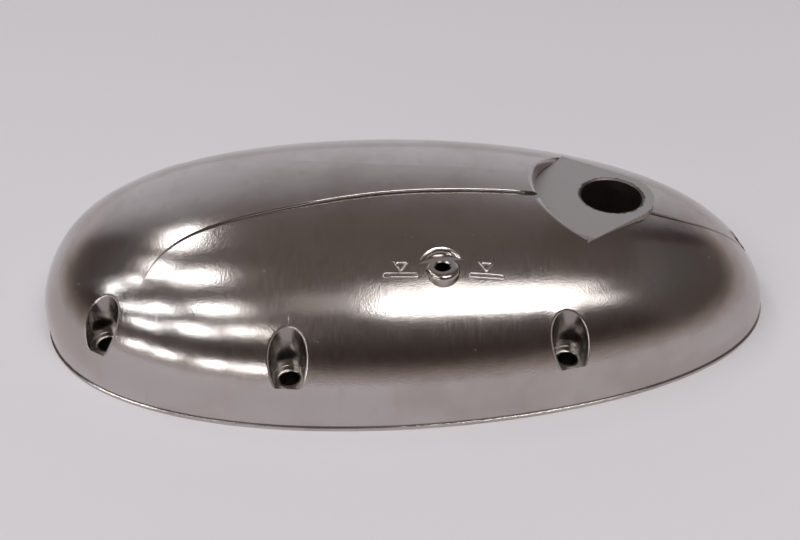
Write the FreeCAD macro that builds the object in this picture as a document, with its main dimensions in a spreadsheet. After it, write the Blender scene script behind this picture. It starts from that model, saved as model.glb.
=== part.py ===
import FreeCAD, Part
import math
import os

# Engine side cover: one hollow aluminium casting that lies on its joint face.
# Millimetres. +Z points out of the engine, -X to the broad nose, +X to the narrow rear end.
# The origin is the middle of the joint face.

doc = FreeCAD.newDocument("side_cover")

SIZES = {
    "cover_length": 272.0,
    "cover_width": 144.0,
    "widest_x": -10.5,
    "crown_z": 51.6,
    "deck_step": 1.0,
    "deck_inset": 1.1,
    "lip_out": 0.5,
    "lip_high": 1.2,
    "wall": 3.5,
    "rim_wide": 7.5,
    "rim_high": 5.0,
    "hub_from_rear": 61.5,
    "pad_z": 42.6,
    "pad_thick": 4.5,
    "recess_r": 28.5,
    "recess_round": 3.0,
    "hub_boss_r": 15.3,
    "hub_boss_flare": 34.5,
    "hub_bore_r": 11.0,
    "hub_bore_edge": 0.5,
    "hub_sleeve_wall": 4.0,
    "hub_sleeve_long": 18.0,
    "screw_r": 3.3,
    "seat_z": 16.0,
    "rear_seat_z": 13.0,
    "seat_r": 6.2,
    "column_wall": 2.8,
    "level_x": 10.4,
    "level_from_flank": 30.8,
    "level_z": 44.0,
    "level_boss_r": 5.9,
    "level_boss_round": 1.8,
    "level_boss_deep": 12.0,
    "level_seat_gap": 0.5,
    "level_seat_round": 2.2,
    "level_hole_r": 2.5,
    "level_hole_edge": 0.4,
    "nose_screw_from_nose": 32.8,
    "nose_screw_from_flank": 28.1,
    "mid_screw_x": -40.2,
    "mid_screw_from_flank": 9.3,
    "back_screw_from_rear": 84.5,
    "back_screw_from_flank": 15.2,
    "rear_screw_from_rear": 6.0,
    "rear_screw_y": 3.5,
}

sheet = doc.addObject("Spreadsheet::Sheet", "sizes")
for row, (name, value) in enumerate(SIZES.items(), start=1):
    sheet.set("A%d" % row, name)
    sheet.set("B%d" % row, str(value))
    sheet.setAlias("B%d" % row, name)
doc.recompute()


def size(name):
    return float(getattr(sheet, name))


# Fullness of the egg outline, and of its side profile at the nose, the flanks and the rear.
OUTLINE_FRONT = 2.24
OUTLINE_REAR = 1.83
OUTLINE_SIDE = 2.37
PROFILE_FRONT = 3.15
PROFILE_SIDE = 2.17
PROFILE_REAR = 2.10
CROWN = 2.15

# A domed skin runs on below the joint face as a straight skirt, which is trimmed off later.
SKIRT_SHARE = 0.08
SKIRT_DEEP = 8.0

# The deck's rear end stands this far inside the main dome's.
DECK_REAR_INSET = 0.2

# How far a cutting shape's dome stands off the skin that it cuts, so that no two faces coincide, and
# how far its shaft runs down past the seat and up past the crown.
STAND_OFF = 0.03
SHAFT_DEEP = 30.0
SHAFT_CLEAR = 20.0


def reach(inset):
    """Distance from the widest section to the nose, the rear tip and one flank, less an inset."""
    long_half = size("cover_length") / 2
    ahead = long_half + size("widest_x") - inset
    behind = long_half - size("widest_x") - inset
    return ahead, behind, size("cover_width") / 2 - inset


def shrink(level, fullness):
    """Share of the outline that is left at a level between the rim (0) and the crown (1)."""
    return (1.0 - level ** fullness) ** (1.0 / CROWN)


def egg_point(turn, reaches, level):
    """Plan point of the egg outline in one direction, seen from the widest section's middle."""
    ahead, behind, beside = reaches
    c = math.cos(turn)
    s = math.sin(turn)
    if c < 0:
        along = ahead * shrink(level, PROFILE_FRONT)
        power = OUTLINE_FRONT
    else:
        along = behind * shrink(level, PROFILE_REAR)
        power = OUTLINE_REAR
    across = beside * shrink(level, PROFILE_SIDE)
    low = 0.0
    high = 2.0
    for _ in range(50):
        r = (low + high) / 2
        if (r * abs(c)) ** power + (r * abs(s)) ** OUTLINE_SIDE > 1.0:
            high = r
        else:
            low = r
    return along * low * c + size("widest_x"), across * low * s


def skin_point(u, v, reaches, crown):
    """Point of a domed skin laid over the square -1..1, whose edge is the foot of the skirt."""
    p = u * math.sqrt(1.0 - v * v / 2)
    q = v * math.sqrt(1.0 - u * u / 2)
    away = min(1.0, math.hypot(p, q))
    dome = 1.0 - SKIRT_SHARE
    if away < 1e-6:
        return FreeCAD.Vector(size("widest_x"), 0, crown)
    if away > dome:
        level = 0.0
        z = -SKIRT_DEEP * (away - dome) / SKIRT_SHARE
    else:
        level = math.sin(math.pi / 2 * (1.0 - away / dome))
        z = crown * level
    x, y = egg_point(math.atan2(q, p), reaches, level)
    return FreeCAD.Vector(x, y, z)


def skirted_dome(reaches, crown, across=16, along=24):
    """Solid under one smooth domed skin, closed by a flat face at the foot of the skirt."""
    grid = []
    for i in range(along + 1):
        u = -1.0 + 2.0 * i / along
        grid.append([skin_point(u, -1.0 + 2.0 * j / across, reaches, crown) for j in range(across + 1)])
    surface = Part.BSplineSurface()
    surface.interpolate(grid)
    skin = surface.toShape()
    foot = Part.Face(Part.Wire(Part.__sortEdges__(skin.Edges)))
    solid = Part.Solid(Part.Shell([skin, foot]))
    if solid.Volume < 0:
        solid.reverse()
    return solid


def dome(reaches, crown):
    """The same solid without the skirt, standing on the joint face."""
    length = size("cover_length")
    above_joint = Part.makeBox(2 * length, 2 * length, length, FreeCAD.Vector(-length, -length, 0))
    return skirted_dome(reaches, crown).common(above_joint).Solids[0]


def egg_slab(reaches, low, high, points=48):
    """Straight-sided egg between two heights."""
    ring = []
    for i in range(points):
        x, y = egg_point(2 * math.pi * (i + 0.5) / points, reaches, 0.0)
        ring.append(FreeCAD.Vector(x, y, low))
    curve = Part.BSplineCurve()
    curve.interpolate(ring, PeriodicFlag=True)
    face = Part.Face(Part.Wire(curve.toShape()))
    return face.extrude(FreeCAD.Vector(0, 0, high - low))


def sunk_seat(reaches, crown, x, y, r, floor, rounding):
    """Cutting shape for a round seat sunk into a dome, with a rolled upper edge."""
    big = skirted_dome([reach + STAND_OFF for reach in reaches], crown + STAND_OFF)
    foot = floor - SHAFT_DEEP
    shaft = Part.makeCylinder(r, crown + SHAFT_CLEAR - foot, FreeCAD.Vector(x, y, foot))
    holed = big.cut(shaft)
    mouth = []
    for edge in holed.Edges:
        first, last = edge.ParameterRange
        points = [edge.valueAt(first + (last - first) * k / 8) for k in range(9)]
        on_shaft = all(abs(math.hypot(p.x - x, p.y - y) - r) < 0.01 for p in points)
        upright = points[0].distanceToPoint(FreeCAD.Vector(points[8].x, points[8].y, points[0].z)) < 0.01
        if on_shaft and points[4].z > foot + 1 and (not upright or edge.isClosed()):
            mouth.append(edge)
    rolled = holed.makeFillet(rounding, mouth)
    around = Part.makeCylinder(r + 1.5 * rounding + 1, crown + SHAFT_CLEAR, FreeCAD.Vector(x, y, floor))
    return around.cut(rolled)


def add_shape(name, shape):
    feature = doc.addObject("Part::Feature", name)
    feature.Shape = shape
    return feature


def add_cylinder(name, x, y, bottom, radius, height):
    """Upright cylinder whose place and sizes are formulas on the size sheet."""
    cylinder = doc.addObject("Part::Cylinder", name)
    cylinder.setExpression("Radius", radius)
    cylinder.setExpression("Height", height)
    cylinder.setExpression("Placement.Base.x", x)
    cylinder.setExpression("Placement.Base.y", y)
    cylinder.setExpression("Placement.Base.z", bottom)
    return cylinder


def add_cone(name, x, y, bottom, small, large, height):
    cone = doc.addObject("Part::Cone", name)
    cone.setExpression("Radius1", small)
    cone.setExpression("Radius2", large)
    cone.setExpression("Height", height)
    cone.setExpression("Placement.Base.x", x)
    cone.setExpression("Placement.Base.y", y)
    cone.setExpression("Placement.Base.z", bottom)
    return cone


# Where things stand on the cover, as formulas on the size sheet.
NOSE_SCREW_X = "sizes.nose_screw_from_nose - sizes.cover_length / 2"
BACK_SCREW_X = "sizes.cover_length / 2 - sizes.back_screw_from_rear"
REAR_SCREW_X = "sizes.cover_length / 2 - sizes.rear_screw_from_rear"
HUB_X = "sizes.cover_length / 2 - sizes.hub_from_rear"
LEVEL_Y = "sizes.level_from_flank - sizes.cover_width / 2"

# The screws: a pair at the nose, two pairs along the flanks and one at the rear end.
SCREWS = []
for place, x in (("nose", NOSE_SCREW_X), ("mid", "sizes.mid_screw_x"), ("back", BACK_SCREW_X)):
    y = "(sizes.cover_width / 2 - sizes.%s_screw_from_flank)" % place
    SCREWS.append((place + "_near", x, "-" + y, "sizes.seat_z"))
    SCREWS.append((place + "_far", x, y, "sizes.seat_z"))
SCREWS.append(("rear", REAR_SCREW_X, "sizes.rear_screw_y", "sizes.rear_seat_z"))

# Raised deck: a second dome, a little higher and shorter than the main one. It is kept inside two
# creases that run from the rear screw along the back, and swing out and fade at the nose. The points
# are shares of the half length and the half width, from the rear to the nose.
CREASE = [(0.963, 0.010), (0.868, 0.047), (0.735, 0.094), (0.441, 0.092), (0.184, 0.096), (-0.074, 0.128)]
CREASE += [(-0.331, 0.217), (-0.500, 0.286), (-0.603, 0.386), (-0.654, 0.514), (-0.684, 0.667)]
CREASE += [(-0.743, 0.917), (-0.824, 1.167)]
DECK_FOOT = 8.0


def crease_outline():
    """Closed plan of the deck: both creases, joined across the nose and at the rear."""
    half_long = size("cover_length") / 2
    half_wide = size("cover_width") / 2
    points = [(x * half_long, y * half_wide) for x, y in CREASE]
    near = Part.BSplineCurve()
    near.interpolate([FreeCAD.Vector(x, -y, DECK_FOOT) for x, y in points])
    far = Part.BSplineCurve()
    far.interpolate([FreeCAD.Vector(x, y, DECK_FOOT) for x, y in points])
    tip_x, tip_y = points[0]
    end_x, end_y = points[-1]
    ahead = -size("cover_length")
    corners = [(end_x, -end_y), (ahead, -end_y), (ahead, end_y), (end_x, end_y)]
    nose = Part.makePolygon([FreeCAD.Vector(x, y, DECK_FOOT) for x, y in corners])
    tip = Part.makeLine(FreeCAD.Vector(tip_x, tip_y, DECK_FOOT), FreeCAD.Vector(tip_x, -tip_y, DECK_FOOT))
    edges = [near.toShape(), far.toShape(), tip] + nose.Edges
    return Part.Wire(Part.__sortEdges__(edges))


skin_reach = reach(size("lip_out"))
skin_crown = size("crown_z")
deck_reach = list(reach(size("lip_out") + size("deck_inset")))
deck_reach[1] = skin_reach[1] - DECK_REAR_INSET
deck_crown = skin_crown + size("deck_step")
deck_plan = Part.Face(crease_outline())
raised_deck = dome(deck_reach, deck_crown).common(deck_plan.extrude(FreeCAD.Vector(0, 0, deck_crown)))
domes = dome(skin_reach, skin_crown).fuse(raised_deck)

# The hub recess crosses the creases, so its rolled edge follows a dome that meets the deck on the
# back and the main dome on the flank. The level screw's seat lies in the main dome alone.
between_reach = reach(size("lip_out") + 2 * size("deck_step"))
hub_x = size("cover_length") / 2 - size("hub_from_rear")
hub_recess = (hub_x, 0, size("recess_r"), size("pad_z"), size("recess_round"))
level_seat_r = size("level_boss_r") + size("level_seat_gap")
level_y = size("level_from_flank") - size("cover_width") / 2
level_seat = (size("level_x"), level_y, level_seat_r, size("level_z"), size("level_seat_round"))
recessed = domes.cut(sunk_seat(between_reach, deck_crown + 0.1, *hub_recess))
domed_skin = add_shape("domed_skin", recessed.cut(sunk_seat(skin_reach, skin_crown, *level_seat)))

# The screw pockets are straight and round, down to flat seats that break out low on the flanks.
pocket_parts = []
for name, x, y, seat in SCREWS:
    pocket_parts.append(add_cylinder("pocket_" + name, x, y, seat, "sizes.seat_r", "sizes.crown_z"))
pockets = doc.addObject("Part::MultiFuse", "pockets")
pockets.Shapes = pocket_parts
carved = doc.addObject("Part::Cut", "carved_skin")
carved.Base = domed_skin
carved.Tool = pockets

joint_lip = add_shape("joint_lip", egg_slab(reach(0.0), 0.0, size("lip_high")))


def hub_boss_shape():
    """Boss round the hub bore: a round end to the rear, and straight flanks flaring forward."""
    r = size("hub_boss_r")
    flare = math.radians(size("hub_boss_flare"))
    run = size("recess_r") * 0.95
    foot = size("pad_z") - size("hub_sleeve_long")
    touch_x = r * math.sin(flare)
    touch_y = r * math.cos(flare)
    far_x = touch_x - run * math.cos(flare)
    far_y = touch_y + run * math.sin(flare)
    arc = Part.Arc(FreeCAD.Vector(touch_x, touch_y, 0), FreeCAD.Vector(r, 0, 0),
                   FreeCAD.Vector(touch_x, -touch_y, 0)).toShape()
    sides = Part.makePolygon([FreeCAD.Vector(touch_x, -touch_y, 0), FreeCAD.Vector(far_x, -far_y, 0),
                              FreeCAD.Vector(far_x, far_y, 0), FreeCAD.Vector(touch_x, touch_y, 0)])
    face = Part.Face(Part.Wire(Part.__sortEdges__([arc] + sides.Edges)))
    face.translate(FreeCAD.Vector(hub_x, 0, foot))
    return face.extrude(FreeCAD.Vector(0, 0, size("hub_sleeve_long")))


hub_boss = add_shape("hub_boss", hub_boss_shape())

level_post = add_cylinder("level_post", "sizes.level_x", LEVEL_Y,
                          "sizes.level_z - sizes.level_boss_deep", "sizes.level_boss_r",
                          "sizes.level_boss_deep")
doc.recompute()
rims = [i for i, edge in enumerate(level_post.Shape.Edges, start=1)
        if edge.BoundBox.ZMin > size("level_z") - 0.01]
level_boss = doc.addObject("Part::Fillet", "level_boss")
level_boss.Base = level_post
level_boss.Edges = [(i, size("level_boss_round"), size("level_boss_round")) for i in rims]

outer = carved
for added in (hub_boss, level_boss, joint_lip):
    grown = doc.addObject("Part::Fuse", "skin_with_" + added.Name)
    grown.Base = outer
    grown.Tool = added
    outer = grown

# The hollow: a smaller dome above the joint flange, and a straight opening through the flange.
inner_reach = reach(size("lip_out") + size("wall"))
inner_dome = dome(inner_reach, size("crown_z") - size("wall"))
span = size("cover_length")
above_flange = Part.makeBox(2 * span, 2 * span, span, FreeCAD.Vector(-span, -span, size("rim_high")))
hollow_upper = add_shape("hollow_upper", inner_dome.common(above_flange))
hollow_lower = add_shape("hollow_lower", egg_slab(reach(size("rim_wide")), -2.0, size("rim_high") + 1.0))
hollow = doc.addObject("Part::MultiFuse", "hollow")
hollow.Shapes = [hollow_upper, hollow_lower]

# The hollow leaves a column under each screw, the thick floor of the hub recess and the sleeves
# round the hub bore and the level screw.
inner_parts = []
for name, x, y, seat in SCREWS:
    inner_parts.append(add_cylinder("column_" + name, x, y, "-3", "sizes.seat_r + sizes.column_wall",
                                    "sizes.crown_z + 3"))
inner_parts.append(add_cylinder("pad_floor", HUB_X, "0", "sizes.pad_z - sizes.pad_thick",
                                "sizes.recess_r + sizes.recess_round + 1", "sizes.pad_thick + 12"))
inner_parts.append(add_cylinder("hub_sleeve", HUB_X, "0",
                                "sizes.pad_z - sizes.hub_sleeve_long",
                                "sizes.hub_bore_r + sizes.hub_sleeve_wall",
                                "sizes.hub_sleeve_long - 1"))
inner_parts.append(add_cylinder("level_sleeve", "sizes.level_x", LEVEL_Y,
                                "sizes.level_z - sizes.level_boss_deep",
                                "sizes.level_boss_r + 1", "sizes.level_boss_deep + 5"))
inner = doc.addObject("Part::MultiFuse", "inner")
inner.Shapes = inner_parts
void = doc.addObject("Part::Cut", "void")
void.Base = hollow
void.Tool = inner

blank = doc.addObject("Part::Cut", "blank")
blank.Base = outer
blank.Tool = void

# Holes: the hub bore and the level screw's tapped hole with chamfered mouths, and the screw holes.
holes = []
for name, x, y, seat in SCREWS:
    holes.append(add_cylinder("hole_" + name, x, y, "-1", "sizes.screw_r", seat + " + 2"))
holes.append(add_cylinder("hub_bore", HUB_X, "0", "0", "sizes.hub_bore_r", "sizes.crown_z"))
holes.append(add_cone("hub_bore_mouth", HUB_X, "0", "sizes.pad_z - sizes.hub_bore_edge",
                      "sizes.hub_bore_r", "sizes.hub_bore_r + 2 * sizes.hub_bore_edge",
                      "2 * sizes.hub_bore_edge"))
holes.append(add_cylinder("level_hole", "sizes.level_x", LEVEL_Y,
                          "sizes.level_z - sizes.level_boss_deep - 1", "sizes.level_hole_r",
                          "sizes.level_boss_deep + 2"))
holes.append(add_cone("level_hole_mouth", "sizes.level_x", LEVEL_Y,
                      "sizes.level_z - sizes.level_hole_edge", "sizes.level_hole_r",
                      "sizes.level_hole_r + 2 * sizes.level_hole_edge",
                      "2 * sizes.level_hole_edge"))
drilled = doc.addObject("Part::MultiFuse", "drilled")
drilled.Shapes = holes

cover = doc.addObject("Part::Cut", "cover_casting")
cover.Base = blank
cover.Tool = drilled
cover.Label = "cover_casting"

doc.recompute()
for item in doc.Objects:
    if "Invalid" in item.State or "Error" in item.State:
        raise RuntimeError("did not compute: " + item.Name)
    if hasattr(item, "Shape") and (item.Shape.isNull() or not item.Shape.isValid()):
        raise RuntimeError("bad shape: " + item.Name)
if len(cover.Shape.Solids) != 1:
    raise RuntimeError("the casting came out as %d solids" % len(cover.Shape.Solids))

os.makedirs("parts", exist_ok=True)
cover.Shape.exportStep("parts/cover_casting.step")
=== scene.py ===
import math
from types import SimpleNamespace

import bpy
from mathutils import Matrix, Vector


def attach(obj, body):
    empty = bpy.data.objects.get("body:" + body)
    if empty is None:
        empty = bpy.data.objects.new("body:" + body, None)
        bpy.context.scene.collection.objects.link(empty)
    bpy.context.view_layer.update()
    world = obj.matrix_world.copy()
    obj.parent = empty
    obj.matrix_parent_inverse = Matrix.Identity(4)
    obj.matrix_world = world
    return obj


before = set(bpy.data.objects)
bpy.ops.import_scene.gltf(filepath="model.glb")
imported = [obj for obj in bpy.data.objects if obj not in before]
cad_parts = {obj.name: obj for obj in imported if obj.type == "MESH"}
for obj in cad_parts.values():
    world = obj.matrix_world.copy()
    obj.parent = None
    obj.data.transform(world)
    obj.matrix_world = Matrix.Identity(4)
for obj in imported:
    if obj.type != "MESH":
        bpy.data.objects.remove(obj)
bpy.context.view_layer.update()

# Lengths are in metres. The nose of the cover points to -X, and the camera looks from -Y.

# The photograph's camera, fitted to the cover's outline and holes, in an 800 by 540 picture.
PICTURE_WIDE = 800.0
FOCAL_PIXELS = 900.0
SENSOR = 36.0
CAMERA_PLACE = Vector((-0.0082, -0.2713, 0.2249))
LOOK_DOWN = math.radians(38.35)
LOOK_TURN = math.radians(1.17)
LOOK_ROLL = math.radians(-0.63)


def make_camera():
    forward = Vector((math.sin(LOOK_TURN) * math.cos(LOOK_DOWN),
                      math.cos(LOOK_TURN) * math.cos(LOOK_DOWN),
                      -math.sin(LOOK_DOWN)))
    level = Vector((math.cos(LOOK_TURN), -math.sin(LOOK_TURN), 0.0))
    upward = level.cross(forward)
    right = math.cos(LOOK_ROLL) * level + math.sin(LOOK_ROLL) * upward
    up = math.cos(LOOK_ROLL) * upward - math.sin(LOOK_ROLL) * level
    turn = Matrix((right, up, -forward)).transposed()
    data = bpy.data.cameras.new("photo_camera")
    data.sensor_width = SENSOR
    data.lens = SENSOR * FOCAL_PIXELS / PICTURE_WIDE
    data.clip_start = 0.01
    camera = bpy.data.objects.new("photo_camera", data)
    camera.matrix_world = Matrix.Translation(CAMERA_PLACE) @ turn.to_4x4()
    bpy.context.scene.collection.objects.link(camera)
    bpy.context.scene.camera = camera


# Plan places and heights on the cover in metres, as the solid has them.
SCREWS = [(-0.1032, -0.0439), (-0.1032, 0.0439), (-0.0402, -0.0627), (-0.0402, 0.0627),
          (0.0515, -0.0568), (0.0515, 0.0568), (0.1300, 0.0035)]
SCREW_HOLE_R = 0.0033
SCREW_SEAT_R = 0.0062
SCREW_SEAT_Z = 0.0160
HUB = (0.0745, 0.0)
HUB_BORE_R = 0.0110
HUB_PAD_Z = 0.0426
HUB_PAD_R = 0.0286
WIDEST = (-0.0105, 0.0)
HALF_PLAN = (0.136, 0.072)
LIP_TOP = 0.0012
HOLLOW_TOP = (0.026, 0.030)
FLANK_FROM = (0.0075, 0.0105)

# Edges that are rounded in the photo: how wide the rounding is, and how far the normals lean over.
MOUTH_ROLL = 0.0007
HOLE_ROLL = 0.0011
HOLE_LEAN = 0.6
RECESS_ROLL = 0.0028
RECESS_LEAN = 0.6
LIP_LEAN = 0.78

# A short upright nick in the skin above the middle pocket.
NICK = (-0.0396, -0.0549)
NICK_HALF = (0.00026, 0.0011)

# Colours of the metal, and the colour of a painted shade above the lip.
SKIN = (0.525, 0.492, 0.478)
SKIN_CLOUDED = (0.46, 0.42, 0.395)
SKIN_SMEARED = (0.43, 0.395, 0.365)
MACHINED = (0.62, 0.60, 0.595)
WORN_EDGE = (0.11, 0.085, 0.075)
POCKET_WALL = (0.34, 0.315, 0.295)
BORE_WALL = (0.17, 0.13, 0.115)
ROUGH_CAST = (0.36, 0.345, 0.33)
# Painted shade: darkens the crevice where the outer wall meets the lip.
LIP_CREVICE_SHADE = (0.08, 0.065, 0.06)
PIT = (0.16, 0.14, 0.12)

# Height of the surface detail in metres.
GRAIN_HIGH = 0.000026
STREAK_HIGH = 0.000006
CAST_HIGH = 0.00022
TURNING_HIGH = 0.000004
PIT_DEEP = 0.00012
NICK_SHARE = 1.7
TURNINGS = 9000.0


class Graph:
    """Short names for the shader nodes of one material or world."""

    def __init__(self, tree, coordinates):
        self.nodes = tree.nodes
        self.links = tree.links
        self.place = self.nodes.new("ShaderNodeTexCoord").outputs[coordinates]

    def feed(self, socket, value):
        if isinstance(value, bpy.types.NodeSocket):
            self.links.new(value, socket)
        elif value is not None:
            socket.default_value = value

    def math(self, operation, first, second=None, third=None):
        node = self.nodes.new("ShaderNodeMath")
        node.operation = operation
        for socket, value in zip(node.inputs, (first, second, third)):
            self.feed(socket, value)
        return node.outputs[0]

    def times(self, first, second):
        return self.math("MULTIPLY", first, second)

    def largest(self, first, second):
        return self.math("MAXIMUM", first, second)

    def apart(self, value, centre):
        """How far a number is from a centre, without its sign."""
        return self.math("ABSOLUTE", self.math("SUBTRACT", value, centre))

    def vector(self, operation, first, second=None):
        node = self.nodes.new("ShaderNodeVectorMath")
        node.operation = operation
        self.feed(node.inputs[0], first)
        self.feed(node.inputs[1], second)
        one_number = operation in ("DISTANCE", "DOT_PRODUCT", "LENGTH")
        return node.outputs["Value" if one_number else "Vector"]

    def scaled(self, value, amount):
        node = self.nodes.new("ShaderNodeVectorMath")
        node.operation = "SCALE"
        self.links.new(value, node.inputs[0])
        self.links.new(amount, node.inputs["Scale"])
        return node.outputs[0]

    def split(self, value):
        node = self.nodes.new("ShaderNodeSeparateXYZ")
        self.links.new(value, node.inputs[0])
        return tuple(node.outputs)

    def step(self, value, low, high, out_low=0.0, out_high=1.0):
        """Smooth change from one value to another while a quantity goes from low to high."""
        node = self.nodes.new("ShaderNodeMapRange")
        node.interpolation_type = "SMOOTHSTEP"
        self.links.new(value, node.inputs["Value"])
        node.inputs["From Min"].default_value = low
        node.inputs["From Max"].default_value = high
        node.inputs["To Min"].default_value = out_low
        node.inputs["To Max"].default_value = out_high
        return node.outputs[0]

    def noise(self, scales, detail=3.0, rough=0.55):
        """Noise whose grains per metre differ along x, y and z."""
        node = self.nodes.new("ShaderNodeTexNoise")
        self.links.new(self.vector("MULTIPLY", self.place, scales), node.inputs["Vector"])
        node.inputs["Scale"].default_value = 1.0
        node.inputs["Detail"].default_value = detail
        node.inputs["Roughness"].default_value = rough
        return node.outputs["Fac"]

    def cells(self, scale):
        node = self.nodes.new("ShaderNodeTexVoronoi")
        self.links.new(self.place, node.inputs["Vector"])
        node.inputs["Scale"].default_value = scale
        return node.outputs["Distance"]

    def mix(self, factor, first, second):
        node = self.nodes.new("ShaderNodeMix")
        node.data_type = "RGBA"
        self.feed(node.inputs["Factor"], factor)
        for socket, value in zip((node.inputs["A"], node.inputs["B"]), (first, second)):
            linked = isinstance(value, bpy.types.NodeSocket)
            self.feed(socket, value if linked else tuple(value) + (1.0,))
        return node.outputs["Result"]

    def ramp(self, source, stops):
        """Smooth run of colours, each stop given as its place, its brightness and its hue."""
        node = self.nodes.new("ShaderNodeValToRGB")
        node.color_ramp.interpolation = "B_SPLINE"
        elements = node.color_ramp.elements
        while len(elements) > 1:
            elements.remove(elements[-1])
        for index, (place, value, hue) in enumerate(stops):
            element = elements[0] if index == 0 else elements.new(place)
            element.position = place
            element.color = tuple(value * channel for channel in hue) + (1.0,)
        self.links.new(source, node.inputs["Fac"])
        return node.outputs["Color"]

    def bump(self, height, normal):
        """Normal of a surface whose height is given in metres."""
        node = self.nodes.new("ShaderNodeBump")
        node.inputs["Strength"].default_value = 1.0
        node.inputs["Distance"].default_value = 1.0
        self.links.new(height, node.inputs["Height"])
        self.links.new(normal, node.inputs["Normal"])
        return node.outputs["Normal"]


def new_material(name):
    material = bpy.data.materials.new(name)
    material.use_nodes = True
    return material, material.node_tree.nodes["Principled BSDF"]


def nearest_screw(g, plan, z):
    """Distance to the nearest screw, and the lean of the normals that rounds its two edges."""
    nearest = None
    lean = None
    for spot in SCREWS:
        offset = g.vector("SUBTRACT", plan, spot + (0.0,))
        distance = g.vector("LENGTH", offset)
        at_mouth = g.times(g.step(distance, SCREW_SEAT_R + MOUTH_ROLL, SCREW_SEAT_R),
                           g.math("GREATER_THAN", distance, SCREW_SEAT_R - 0.0002))
        at_hole = g.step(distance, SCREW_HOLE_R + HOLE_ROLL, SCREW_HOLE_R)
        above_seat = g.step(z, SCREW_SEAT_Z - 0.0005, SCREW_SEAT_Z + 0.0012)
        amount = g.largest(g.times(at_mouth, above_seat), g.times(at_hole, HOLE_LEAN))
        inwards = g.scaled(g.vector("NORMALIZE", offset), g.times(amount, -1.0))
        lean = inwards if lean is None else g.vector("ADD", lean, inwards)
        nearest = distance if nearest is None else g.math("MINIMUM", nearest, distance)
    return nearest, lean


def survey(g):
    """Where a point lies on the casting, masks from 0 to 1 of its areas, and its rounded edges."""
    at = SimpleNamespace()
    geometry = g.nodes.new("ShaderNodeNewGeometry")
    true_normal = geometry.outputs["True Normal"]
    facing_up = g.split(true_normal)[2]
    at.x, at.y, at.z = g.split(g.place)
    plan = g.vector("MULTIPLY", g.place, (1.0, 1.0, 0.0))
    at.screw, lean = nearest_screw(g, plan, at.z)
    at.hub = g.vector("DISTANCE", plan, HUB + (0.0,))
    from_middle = g.vector("SUBTRACT", plan, WIDEST + (0.0,))
    at.outward = g.vector("DOT_PRODUCT", true_normal, from_middle)

    upright = g.step(g.math("ABSOLUTE", facing_up), 0.25, 0.05)
    level = g.step(facing_up, 0.985, 0.998)
    at.in_pocket = g.times(g.step(at.screw, SCREW_SEAT_R + 0.00025, SCREW_SEAT_R + 0.00005), upright)
    at.in_seat = g.times(g.step(at.screw, SCREW_SEAT_R, SCREW_SEAT_R - 0.0002), level)
    at.in_bore = g.times(g.step(at.hub, HUB_BORE_R + 0.0008, HUB_BORE_R + 0.0003), upright)
    on_floor = g.times(g.step(at.hub, HUB_PAD_R, HUB_PAD_R - 0.0006), level)
    at.on_pad = g.times(on_floor, g.step(g.apart(at.z, HUB_PAD_Z), 0.0002, 0.0001))
    ceiling = g.times(g.step(facing_up, -0.02, -0.08), g.step(at.z, 0.0001, 0.0003))
    walls = g.times(upright, g.step(at.outward, -0.001, -0.004))
    walls = g.times(walls, g.step(at.z, HOLLOW_TOP[1], HOLLOW_TOP[0]))
    seen = g.math("SUBTRACT", 1.0, g.largest(at.in_pocket, at.in_bore))
    at.inside = g.times(g.largest(ceiling, walls), seen)

    # Besides the screws' edges, the recess's rim on the flanks and the lip's upper edge are rounded.
    at_rim = g.times(g.step(at.hub, HUB_PAD_R + RECESS_ROLL, HUB_PAD_R),
                     g.step(g.math("ABSOLUTE", at.y), *FLANK_FROM))
    at_rim = g.times(at_rim, g.step(at.z, HUB_PAD_Z + 0.0001, HUB_PAD_Z + 0.0003))
    to_hub = g.vector("NORMALIZE", g.vector("SUBTRACT", HUB + (0.0,), plan))
    lean = g.vector("ADD", lean, g.scaled(to_hub, g.times(at_rim, RECESS_LEAN)))
    on_lip = g.times(g.step(facing_up, 0.90, 0.95), g.step(at.z, LIP_TOP + 0.0002, LIP_TOP + 0.0001))
    outline_shape = (HALF_PLAN[0] ** -2, HALF_PLAN[1] ** -2, 0.0)
    steepest = g.vector("NORMALIZE", g.vector("MULTIPLY", from_middle, outline_shape))
    lean = g.vector("ADD", lean, g.scaled(steepest, g.times(on_lip, LIP_LEAN)))
    at.normal = g.vector("NORMALIZE", g.vector("ADD", geometry.outputs["Normal"], lean))
    return at


def add_marks(g, at):
    """What polishing, casting and use leave on the metal, and a painted shade in the crevice above the
    lip.
    """
    at.streaks = g.noise((1800.0, 210.0, 210.0), 3.0, 0.6)
    at.grain = g.noise((1650.0, 1650.0, 1650.0), 2.0)
    at.cloud = g.noise((34.0, 34.0, 34.0))
    at.smear = g.noise((150.0, 60.0, 60.0))
    nick = g.times(g.step(g.apart(at.x, NICK[0]), NICK_HALF[0], 0.0),
                   g.step(g.apart(at.y, NICK[1]), NICK_HALF[1], NICK_HALF[1] * 0.7))
    at.nick = g.times(nick, g.step(at.screw, SCREW_SEAT_R + 0.0002, SCREW_SEAT_R + 0.0004))
    at.turned = g.math("SINE", g.times(at.hub, TURNINGS))
    at.pits = g.times(g.step(g.cells(700.0), 0.13, 0.06),
                      g.step(g.noise((90.0, 90.0, 90.0)), 0.64, 0.70))
    # Painted shade: a dark band on the outward wall just above the lip, in the crevice where wall and lip
    # meet.
    dirt = g.times(g.step(at.z, LIP_TOP + 0.0001, LIP_TOP + 0.0002),
                   g.step(at.z, LIP_TOP + 0.0010, LIP_TOP + 0.0004))
    at.dirt = g.times(dirt, g.step(at.outward, 0.0, 0.004))
    ragged = g.math("MULTIPLY_ADD", g.noise((420.0, 420.0, 420.0)), -0.0022, at.hub)
    at.worn = g.step(ragged, HUB_BORE_R + 0.0002, HUB_BORE_R - 0.0005)


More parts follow.
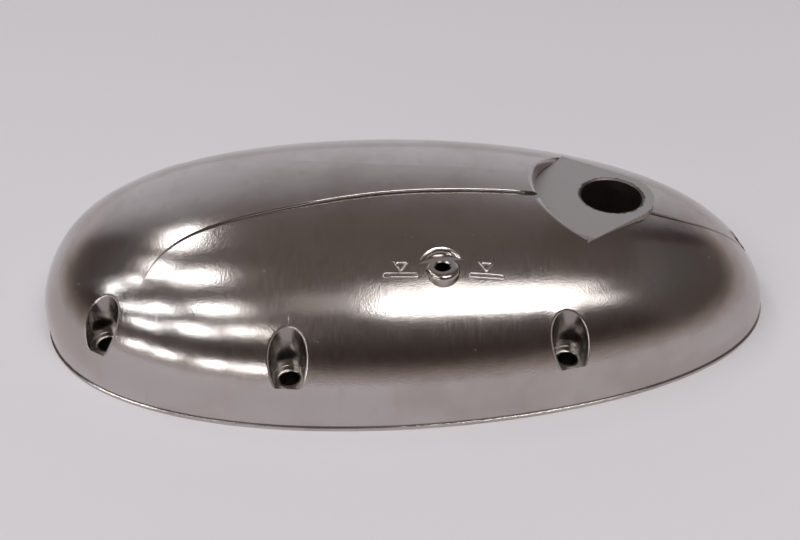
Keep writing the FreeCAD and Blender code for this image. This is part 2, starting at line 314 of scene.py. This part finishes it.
def metal_colour(g, at):
    tint = g.mix(g.step(at.cloud, 0.38, 0.66), SKIN, SKIN_CLOUDED)
    for share, mask, colour in ((0.35, g.step(at.smear, 0.56, 0.70), SKIN_SMEARED),
                                (0.9, at.on_pad, MACHINED), (0.85, at.worn, WORN_EDGE),
                                (0.85, at.in_pocket, POCKET_WALL), (0.85, at.in_bore, BORE_WALL),
                                # The dark band above the lip is painted shade.
                                (0.9, at.inside, ROUGH_CAST), (0.55, at.dirt, LIP_CREVICE_SHADE), (0.7, at.pits, PIT)):
        tint = g.mix(g.times(mask, share), tint, colour)
    return tint


def metal_roughness(g, at):
    polished = g.math("ADD", g.step(at.streaks, 0.36, 0.68, 0.125, 0.165),
                      g.step(at.cloud, 0.35, 0.68, 0.0, 0.035))
    duller = g.times(at.on_pad, 0.33)
    for more, mask in ((0.08, at.in_seat), (0.03, at.in_pocket), (0.30, g.largest(at.in_bore, at.worn)),
                       (0.38, g.largest(at.inside, at.pits))):
        duller = g.largest(duller, g.times(mask, more))
    return g.math("ADD", polished, duller)


def metal_height(g, at):
    """Height of the surface in metres over the plain solid."""
    height = g.math("MULTIPLY_ADD", at.grain, GRAIN_HIGH, g.times(at.streaks, STREAK_HIGH))
    height = g.times(height, g.step(at.screw, SCREW_SEAT_R, SCREW_SEAT_R + 0.0004, 0.25, 1.0))
    cast = g.times(at.grain, at.inside)
    turned = g.times(at.turned, g.largest(at.on_pad, at.in_bore))
    sunk = g.largest(g.times(at.nick, NICK_SHARE), at.pits)
    for relief, high in ((cast, CAST_HIGH), (turned, TURNING_HIGH), (sunk, -PIT_DEEP)):
        height = g.math("MULTIPLY_ADD", relief, high, height)
    return height


def polished_aluminium():
    """Polished skin, duller machined seats and pad, and a rough cast inside, all on one casting."""
    material, shader = new_material("polished_aluminium")
    g = Graph(material.node_tree, "Object")
    at = survey(g)
    add_marks(g, at)
    shader.inputs["Metallic"].default_value = 1.0
    g.links.new(metal_colour(g, at), shader.inputs["Base Color"])
    g.links.new(metal_roughness(g, at), shader.inputs["Roughness"])
    g.links.new(g.bump(metal_height(g, at), at.normal), shader.inputs["Normal"])
    return material


FLOOR_HALF = 3.0


def make_floor():
    mesh = bpy.data.meshes.new("floor")
    corners = [(-FLOOR_HALF, -FLOOR_HALF, 0), (FLOOR_HALF, -FLOOR_HALF, 0),
               (FLOOR_HALF, FLOOR_HALF, 0), (-FLOOR_HALF, FLOOR_HALF, 0)]
    mesh.from_pydata(corners, [], [(0, 1, 2, 3)])
    floor = bpy.data.objects.new("floor", mesh)
    bpy.context.scene.collection.objects.link(floor)
    material, shader = new_material("pale_floor")
    shader.inputs["Base Color"].default_value = (0.87, 0.845, 0.885, 1.0)
    shader.inputs["Roughness"].default_value = 0.9
    mesh.materials.append(material)


# The lamps are where the photo's reflections point to. Those in the ceiling have their corners
# given as shares of its height, the small ones their middle and size.
CEILING = 2.4
SKYLIGHTS = [("long_skylight", (0.03, -0.57), (0.63, -0.36), 10.5),
             ("long_skylight_edge", (0.0, -0.36), (0.72, -0.18), 2.4),
             ("long_skylight_end", (0.63, -0.58), (0.92, -0.36), 2.2),
             ("long_skylight_start", (-0.27, -0.52), (0.03, -0.27), 0.3)]
SMALL_SKYLIGHTS = [(-0.63, 0.59, 0.17, 0.28), (-0.76, 0.19, 0.13, 0.22), (-0.56, 0.02, 0.18, 0.16),
                   (-1.02, 0.04, 0.12, 0.11), (-1.34, 0.02, 0.22, 0.11), (-0.57, -0.46, 0.19, 0.15),
                   (-0.97, -0.44, 0.22, 0.15), (-1.28, -0.38, 0.15, 0.17), (-0.56, -0.93, 0.16, 0.20),
                   (-0.93, -0.93, 0.25, 0.27), (-1.43, -0.83, 0.33, 0.24)]
SMALL_RADIANCE = 7.0
# Upright panes round the cover: the azimuth from the camera's side towards +X, the elevations of the
# lower and upper edges and the width, all in degrees, and the radiance.
WALL_AWAY = 2.5
WALLS = [("right_wall", 92.0, 20.0, 48.0, 62.0, 0.055), ("left_wall", -118.0, 18.0, 40.0, 40.0, 0.035)]
WINDOWS = [("window_0", -22.0, 10.0, 14.0, 5.5, 9.0), ("window_1", -32.0, 10.0, 14.0, 5.5, 9.0),
           ("window_2", -45.0, 10.0, 14.0, 5.5, 9.0), ("window_3", -55.0, 10.0, 14.0, 5.5, 9.0)]


def area_lamp(name, wide, tall, radiance, place, turn):
    data = bpy.data.lights.new(name, "AREA")
    data.shape = "RECTANGLE"
    data.size = wide
    data.size_y = tall
    data.energy = radiance * math.pi * wide * tall
    lamp = bpy.data.objects.new(name, data)
    lamp.location = place
    lamp.rotation_euler = turn
    bpy.context.scene.collection.objects.link(lamp)


def ceiling_lamp(name, low, high, radiance):
    middle = ((low[0] + high[0]) / 2 * CEILING, (low[1] + high[1]) / 2 * CEILING, CEILING)
    area_lamp(name, (high[0] - low[0]) * CEILING, (high[1] - low[1]) * CEILING, radiance,
              middle, (0.0, 0.0, 0.0))


def window_pane(name, azimuth, low, high, wide, radiance):
    foot = WALL_AWAY * math.tan(math.radians(low))
    head = WALL_AWAY * math.tan(math.radians(high))
    turn = math.radians(azimuth)
    place = (math.sin(turn) * WALL_AWAY, -math.cos(turn) * WALL_AWAY, (head + foot) / 2)
    area_lamp(name, 2 * WALL_AWAY * math.tan(math.radians(wide) / 2), head - foot, radiance,
              place, (math.radians(90), 0.0, turn))


def light_the_room():
    """A long skylight ahead of the cover, small ones to its left, dim walls and low windows."""
    for lamp in SKYLIGHTS:
        ceiling_lamp(*lamp)
    for wall in WALLS:
        window_pane(*wall)
    for number, (x, y, wide, deep) in enumerate(SMALL_SKYLIGHTS):
        ceiling_lamp("small_skylight_%d" % number, (x - wide / 2, y - deep / 2),
                     (x + wide / 2, y + deep / 2), SMALL_RADIANCE)
    for window in WINDOWS:
        window_pane(*window)


# Brightness and hue of the room by height: 0 is straight down, 0.5 the horizon and 1 overhead.
NEUTRAL = (1.0, 0.97, 1.03)
WARM = (1.0, 0.83, 0.77)
BROWN = (1.0, 0.66, 0.52)
BEHIND_COVER = [(0.0, 0.60, NEUTRAL), (0.5, 0.65, NEUTRAL), (0.66, 0.65, NEUTRAL), (0.78, 0.39, NEUTRAL),
                (0.86, 0.17, WARM), (1.0, 0.15, WARM)]
BEHIND_CAMERA = [(0.0, 0.60, NEUTRAL), (0.5, 0.52, NEUTRAL), (0.55, 0.44, WARM), (0.59, 0.30, WARM),
                 (0.64, 0.10, WARM), (0.70, 0.045, BROWN), (0.80, 0.06, WARM), (0.90, 0.13, WARM),
                 (1.0, 0.15, WARM)]
BACKDROP = (0.64, 0.63, 0.655)


def make_world():
    """A room round the cover: a pale backdrop behind it, and dim towards the camera and overhead."""
    world = bpy.data.worlds.new("studio")
    world.use_nodes = True
    bpy.context.scene.world = world
    g = Graph(world.node_tree, "Generated")
    height = g.math("MULTIPLY_ADD", g.split(g.place)[2], 0.5, 0.5)
    far = g.ramp(height, BEHIND_COVER)
    near = g.ramp(height, BEHIND_CAMERA)
    compass = g.vector("NORMALIZE", g.vector("MULTIPLY", g.place, (1.0, 1.0, 0.0)))
    room = g.mix(g.step(g.split(compass)[1], 0.63, 0.88), near, far)
    seen_directly = g.nodes.new("ShaderNodeLightPath").outputs["Is Camera Ray"]
    background = g.nodes["Background"]
    g.links.new(g.mix(seen_directly, room, BACKDROP), background.inputs["Color"])
    background.inputs["Strength"].default_value = 1.0


MARK_HIGH = 0.00055
MARK_SUNK = 0.00015
MARK_STEPS = 8


def on_skin(cover, x, y):
    """Point and normal of the cover's skin straight below a plan place."""
    hit, point, normal, _ = cover.ray_cast(Vector((x, y, 0.1)), Vector((0.0, 0.0, -1.0)))
    if not hit:
        raise RuntimeError("no skin below (%.4f, %.4f)" % (x, y))
    return point, normal


def inset_loop(corners, inset, pieces):
    """Convex plan outline moved inwards, each side cut into a number of pieces."""
    count = len(corners)
    moved = []
    for i in range(count):
        here = Vector(corners[i])
        back = (here - Vector(corners[i - 1])).normalized()
        onward = (Vector(corners[(i + 1) % count]) - here).normalized()
        inner = Vector((-back.y, back.x)) + Vector((-onward.y, onward.x))
        inner = inner.normalized() / max(0.2, inner.normalized().dot(Vector((-back.y, back.x))))
        moved.append(here + inner * inset)
    loop = []
    for i in range(count):
        for k in range(pieces):
            loop.append(moved[i].lerp(moved[(i + 1) % count], k / pieces))
    return loop


def raised_mark(name, cover, corners, stroke, pieces):
    """Rounded ridge cast proud of the skin, along the inner side of a convex plan outline."""
    around = len(corners) * pieces
    verts = []
    for step in range(MARK_STEPS + 1):
        turn = math.pi * step / MARK_STEPS
        inset = stroke * (1.0 - math.cos(turn)) / 2
        height = (MARK_HIGH + MARK_SUNK) * math.sin(turn) - MARK_SUNK
        for spot in inset_loop(corners, inset, pieces):
            point, normal = on_skin(cover, spot.x, spot.y)
            verts.append(point + normal * height)
    faces = []
    rings = MARK_STEPS + 1
    for ring in range(rings):
        for i in range(around):
            j = (i + 1) % around
            below = ring * around
            above = ((ring + 1) % rings) * around
            faces.append((below + i, below + j, above + j, above + i))
    add_piece(name, cover, verts, faces)


def add_piece(name, cover, verts, faces):
    mesh = bpy.data.meshes.new(name)
    mesh.from_pydata(verts, [], faces)
    mesh.update()
    mesh.shade_smooth()
    piece = bpy.data.objects.new(name, mesh)
    bpy.context.scene.collection.objects.link(piece)
    mesh.materials.append(cover.data.materials[0])
    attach(piece, "root")


def bar_outline(left, right, y_left, y_right, half):
    """Long plate with clipped corners, counter-clockwise."""
    clip = half * 0.6
    return [(left + clip, y_left - half), (right - clip, y_right - half), (right, y_right - half + clip),
            (right, y_right + half - clip), (right - clip, y_right + half), (left + clip, y_left + half),
            (left, y_left + half - clip), (left, y_left - half + clip)]


def level_marks(cover):
    """A pointer standing on a short bar at either side of the level hole."""
    for side, left, right, tip, top, foot in (("left", -0.0062, 0.0, -0.0032, -0.0388, -0.0429),
                                              ("right", 0.0218, 0.0278, 0.0247, -0.0384, -0.0425)):
        raised_mark("pointer_" + side, cover, [(left, top), (tip, foot), (right, top)], 0.0011, 5)
    raised_mark("bar_left", cover, bar_outline(-0.0093, 0.0027, -0.0434, -0.0435, 0.0011), 0.00095, 6)
    raised_mark("bar_right", cover, bar_outline(0.0187, 0.0307, -0.0430, -0.0432, 0.0011), 0.00095, 6)


# Half of the crease in plan, from the rear to the nose, as the solid has it.
CREASE = [(0.1180, 0.0034), (0.1000, 0.0068), (0.0600, 0.0066), (0.0250, 0.0069), (-0.0100, 0.0092),
          (-0.0450, 0.0156), (-0.0680, 0.0206), (-0.0820, 0.0278), (-0.0890, 0.0370)]
# Rounded bead along it: its section, where it starts and ends, and over what length it thins out.
BEAD_R = 0.00055
BEAD_PROUD = 0.00016
BEAD_INSIDE = 0.0004
BEAD_SIDES = 10
BEAD_REAR_X = 0.0425
BEAD_NOSE_X = -0.0880
BEAD_REAR_TAPER = 0.003
BEAD_NOSE_TAPER = 0.058
BEAD_THIN = 0.05
STEPS_PER_SPAN = 14


def crease_path():
    """Smooth plan curve through the crease points."""
    ends = [Vector(CREASE[0]) * 2 - Vector(CREASE[1])]
    points = ends + [Vector(point) for point in CREASE] + [Vector(CREASE[-1]) * 2 - Vector(CREASE[-2])]
    path = []
    for i in range(1, len(points) - 2):
        a, b, c, d = points[i - 1:i + 3]
        for k in range(STEPS_PER_SPAN):
            t = k / STEPS_PER_SPAN
            path.append((2 * b + (c - a) * t + (2 * a - 5 * b + 4 * c - d) * t * t
                         + (3 * b - a - 3 * c + d) * t * t * t) / 2)
    return path + [points[-2]]


def crease_bead(name, cover):
    """Rounded edge of the raised deck on the near flank, that thins out at both ends."""
    centres = []
    for spot in crease_path():
        if BEAD_REAR_X >= spot.x >= BEAD_NOSE_X:
            inner, _ = on_skin(cover, spot.x, BEAD_INSIDE - spot.y)
            centres.append(Vector((spot.x, BEAD_R * 0.5 - spot.y, inner.z - BEAD_R + BEAD_PROUD)))
    verts = []
    for i, centre in enumerate(centres):
        along = (centres[min(i + 1, len(centres) - 1)] - centres[max(i - 1, 0)]).normalized()
        across = along.cross(Vector((0.0, 0.0, 1.0))).normalized()
        upward = across.cross(along)
        share = min(1.0, max(BEAD_THIN, (centre.x - BEAD_NOSE_X) / BEAD_NOSE_TAPER),
                    max(BEAD_THIN, (BEAD_REAR_X - centre.x) / BEAD_REAR_TAPER))
        for k in range(BEAD_SIDES):
            turn = 2 * math.pi * k / BEAD_SIDES
            verts.append(centre - upward * BEAD_R * (1.0 - share)
                         + (across * math.cos(turn) + upward * math.sin(turn)) * BEAD_R * max(share, 0.3))
    faces = []
    for i in range(len(centres) - 1):
        for k in range(BEAD_SIDES):
            m = (k + 1) % BEAD_SIDES
            low = i * BEAD_SIDES
            faces.append((low + k, low + m, low + BEAD_SIDES + m, low + BEAD_SIDES + k))
    faces.append(tuple(reversed(range(BEAD_SIDES))))
    faces.append(tuple(len(verts) - BEAD_SIDES + k for k in range(BEAD_SIDES)))
    add_piece(name, cover, verts, faces)


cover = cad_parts["cover_casting"]
cover.data.materials.clear()
cover.data.materials.append(polished_aluminium())

level_marks(cover)
crease_bead("crease_edge", cover)
make_camera()
make_floor()
make_world()
light_the_room()

bpy.context.scene.view_settings.view_transform = "Standard"
bpy.context.view_layer.update()
